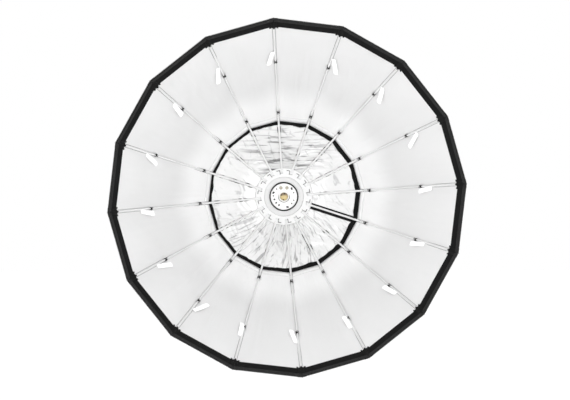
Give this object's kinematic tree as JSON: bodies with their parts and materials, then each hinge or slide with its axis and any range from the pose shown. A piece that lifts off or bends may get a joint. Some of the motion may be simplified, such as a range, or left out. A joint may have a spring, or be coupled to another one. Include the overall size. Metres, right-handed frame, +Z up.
{
  "type": "studio softbox",
  "caption": "Deep parabolic studio softbox with silver lining and folding ribs on a speed ring, mounted on a tilting lamp head with a stand socket.",
  "frame": {"origin": "mouth of the stand socket, on its axis", "axes": "+Z up along the stand socket, the softbox's open front faces -Y, +X to the right as seen from its front"},
  "size_m": [1.1982, 0.7699, 1.1982],
  "materials": {
    "silver_lining_fabric": "pearl silver satin",
    "silver_back_cloth": "crinkled metallised cloth",
    "white_rib": "gloss white",
    "white_ring": "satin white",
    "hinge_steel": "satin",
    "adapter_metal": "turned",
    "black_metal": "satin black",
    "lamp_face": "satin white",
    "lamp_glass": "frosted",
    "housing_paint": "fine texture",
    "black_plastic": "moulded",
    "bracket_metal": "cast, satin black"
  },
  "bodies": {
    "bracket": {"stand_bracket": "bracket_metal", "tilt_bolt": "hinge_steel"},
    "clamp_knob": {"clamp_knob": "black_plastic"},
    "tilt_lever": {"tilt_lever": "black_plastic"},
    "head": {"lamp_housing": "housing_paint", "rear_cover": "black_plastic", "lamp_plate": "lamp_face", "modelling_lamp": "lamp_glass", "bayonet_ring": "black_metal", "adapter_ring": "adapter_metal"},
    "hub": {"speed_ring": "white_ring", "hinge_pins": "hinge_steel"},
    "rib_01": {"rib_01": "white_rib", "side_panel_01": "silver_lining_fabric", "back_panel_01": "silver_back_cloth"},
    "rib_02": {"rib_02": "white_rib", "side_panel_02": "silver_lining_fabric", "back_panel_02": "silver_back_cloth"},
    "rib_03": {"rib_03": "white_rib", "side_panel_03": "silver_lining_fabric", "back_panel_03": "silver_back_cloth"},
    "rib_04": {"rib_04": "white_rib", "side_panel_04": "silver_lining_fabric", "back_panel_04": "silver_back_cloth"},
    "rib_05": {"rib_05": "white_rib", "side_panel_05": "silver_lining_fabric", "back_panel_05": "silver_back_cloth"},
    "rib_06": {"rib_06": "white_rib", "side_panel_06": "silver_lining_fabric", "back_panel_06": "silver_back_cloth"},
    "rib_07": {"rib_07": "white_rib", "side_panel_07": "silver_lining_fabric", "back_panel_07": "silver_back_cloth"},
    "rib_08": {"rib_08": "white_rib", "side_panel_08": "silver_lining_fabric", "back_panel_08": "silver_back_cloth"},
    "rib_09": {"rib_09": "white_rib", "side_panel_09": "silver_lining_fabric", "back_panel_09": "silver_back_cloth"},
    "rib_10": {"rib_10": "white_rib", "side_panel_10": "silver_lining_fabric", "back_panel_10": "silver_back_cloth"},
    "rib_11": {"rib_11": "white_rib", "side_panel_11": "silver_lining_fabric", "back_panel_11": "silver_back_cloth"},
    "rib_12": {"rib_12": "white_rib", "side_panel_12": "silver_lining_fabric", "back_panel_12": "silver_back_cloth"},
    "rib_13": {"rib_13": "white_rib", "side_panel_13": "silver_lining_fabric", "back_panel_13": "silver_back_cloth"},
    "rib_14": {"rib_14": "white_rib", "side_panel_14": "silver_lining_fabric", "back_panel_14": "silver_back_cloth"},
    "rib_15": {"rib_15": "white_rib", "side_panel_15": "silver_lining_fabric", "back_panel_15": "silver_back_cloth"},
    "rib_16": {"rib_16": "white_rib", "side_panel_16": "silver_lining_fabric", "back_panel_16": "silver_back_cloth"}
  },
  "joints": [
    {"name": "clamp_knob_turn", "type": "hinge", "parent": "bracket", "child": "clamp_knob", "pos_m": [0, 0.03, 0.028], "axis": [0, 1, 0], "continuous": true},
    {"name": "tilt_lever_turn", "type": "hinge", "parent": "bracket", "child": "tilt_lever", "pos_m": [0.026, 0, 0.08], "axis": [1, 0, 0], "range_deg": [-45, 90]},
    {"name": "head_tilt", "type": "hinge", "parent": "bracket", "child": "head", "pos_m": [0, 0, 0.08], "axis": [1, 0, 0], "range_deg": [-30, 40]},
    {"name": "softbox_turn", "type": "hinge", "parent": "head", "child": "hub", "pos_m": [0, -0.11, 0.162], "axis": [0, 1, 0], "continuous": true},
    {"name": "rib_fold_01", "type": "hinge", "parent": "hub", "child": "rib_01", "pos_m": [-0.00763, -0.11226, 0.2568], "axis": [0.9968, 0, 0.0802], "range_deg": [0, 40], "deforming": ["side_panel_01", "back_panel_01"]},
    {"name": "rib_fold_02", "type": "hinge", "parent": "hub", "child": "rib_02", "pos_m": [0.02923, -0.11226, 0.2525], "axis": [0.9516, 0, -0.3074], "range_deg": [0, 40], "deforming": ["side_panel_02", "back_panel_02"]},
    {"name": "rib_fold_03", "type": "hinge", "parent": "hub", "child": "rib_03", "pos_m": [0.06164, -0.11226, 0.23443], "axis": [0.7615, 0, -0.6481], "range_deg": [0, 40], "deforming": ["side_panel_03", "back_panel_03"]},
    {"name": "rib_fold_04", "type": "hinge", "parent": "hub", "child": "rib_04", "pos_m": [0.08466, -0.11226, 0.20532], "axis": [0.4555, 0, -0.8902], "range_deg": [0, 40], "deforming": ["side_panel_04", "back_panel_04"]},
    {"name": "rib_fold_05", "type": "hinge", "parent": "hub", "child": "rib_05", "pos_m": [0.0948, -0.11226, 0.16963], "axis": [0.0802, 0, -0.9968], "range_deg": [0, 40], "deforming": ["side_panel_05", "back_panel_05"]},
    {"name": "rib_fold_06", "type": "hinge", "parent": "hub", "child": "rib_06", "pos_m": [0.0905, -0.11226, 0.13277], "axis": [-0.3074, 0, -0.9516], "range_deg": [0, 40], "deforming": ["side_panel_06", "back_panel_06"]},
    {"name": "rib_fold_07", "type": "hinge", "parent": "hub", "child": "rib_07", "pos_m": [0.07243, -0.11226, 0.10036], "axis": [-0.6481, 0, -0.7615], "range_deg": [0, 40], "deforming": ["side_panel_07", "back_panel_07"]},
    {"name": "rib_fold_08", "type": "hinge", "parent": "hub", "child": "rib_08", "pos_m": [0.04332, -0.11226, 0.07734], "axis": [-0.8902, 0, -0.4555], "range_deg": [0, 40], "deforming": ["side_panel_08", "back_panel_08"]},
    {"name": "rib_fold_09", "type": "hinge", "parent": "hub", "child": "rib_09", "pos_m": [0.00763, -0.11226, 0.0672], "axis": [-0.9968, 0, -0.0802], "range_deg": [0, 40], "deforming": ["side_panel_09", "back_panel_09"]},
    {"name": "rib_fold_10", "type": "hinge", "parent": "hub", "child": "rib_10", "pos_m": [-0.02923, -0.11226, 0.0715], "axis": [-0.9516, 0, 0.3074], "range_deg": [0, 40], "deforming": ["side_panel_10", "back_panel_10"]},
    {"name": "rib_fold_11", "type": "hinge", "parent": "hub", "child": "rib_11", "pos_m": [-0.06164, -0.11226, 0.08957], "axis": [-0.7615, 0, 0.6481], "range_deg": [0, 40], "deforming": ["side_panel_11", "back_panel_11"]},
    {"name": "rib_fold_12", "type": "hinge", "parent": "hub", "child": "rib_12", "pos_m": [-0.08466, -0.11226, 0.11868], "axis": [-0.4555, 0, 0.8902], "range_deg": [0, 40], "deforming": ["side_panel_12", "back_panel_12"]},
    {"name": "rib_fold_13", "type": "hinge", "parent": "hub", "child": "rib_13", "pos_m": [-0.0948, -0.11226, 0.15437], "axis": [-0.0802, 0, 0.9968], "range_deg": [0, 40], "deforming": ["side_panel_13", "back_panel_13"]},
    {"name": "rib_fold_14", "type": "hinge", "parent": "hub", "child": "rib_14", "pos_m": [-0.0905, -0.11226, 0.19123], "axis": [0.3074, 0, 0.9516], "range_deg": [0, 40], "deforming": ["side_panel_14", "back_panel_14"]},
    {"name": "rib_fold_15", "type": "hinge", "parent": "hub", "child": "rib_15", "pos_m": [-0.07243, -0.11226, 0.22364], "axis": [0.6481, 0, 0.7615], "range_deg": [0, 40], "deforming": ["side_panel_15", "back_panel_15"]},
    {"name": "rib_fold_16", "type": "hinge", "parent": "hub", "child": "rib_16", "pos_m": [-0.04332, -0.11226, 0.24666], "axis": [0.8902, 0, 0.4555], "range_deg": [0, 40], "deforming": ["side_panel_16", "back_panel_16"]}
  ],
  "couplings": [
    {"joint": "rib_fold_02", "follows": "rib_fold_01", "ratio": 1},
    {"joint": "rib_fold_03", "follows": "rib_fold_01", "ratio": 1},
    {"joint": "rib_fold_04", "follows": "rib_fold_01", "ratio": 1},
    {"joint": "rib_fold_05", "follows": "rib_fold_01", "ratio": 1},
    {"joint": "rib_fold_06", "follows": "rib_fold_01", "ratio": 1},
    {"joint": "rib_fold_07", "follows": "rib_fold_01", "ratio": 1},
    {"joint": "rib_fold_08", "follows": "rib_fold_01", "ratio": 1},
    {"joint": "rib_fold_09", "follows": "rib_fold_01", "ratio": 1},
    {"joint": "rib_fold_10", "follows": "rib_fold_01", "ratio": 1},
    {"joint": "rib_fold_11", "follows": "rib_fold_01", "ratio": 1},
    {"joint": "rib_fold_12", "follows": "rib_fold_01", "ratio": 1},
    {"joint": "rib_fold_13", "follows": "rib_fold_01", "ratio": 1},
    {"joint": "rib_fold_14", "follows": "rib_fold_01", "ratio": 1},
    {"joint": "rib_fold_15", "follows": "rib_fold_01", "ratio": 1},
    {"joint": "rib_fold_16", "follows": "rib_fold_01", "ratio": 1}
  ]
}
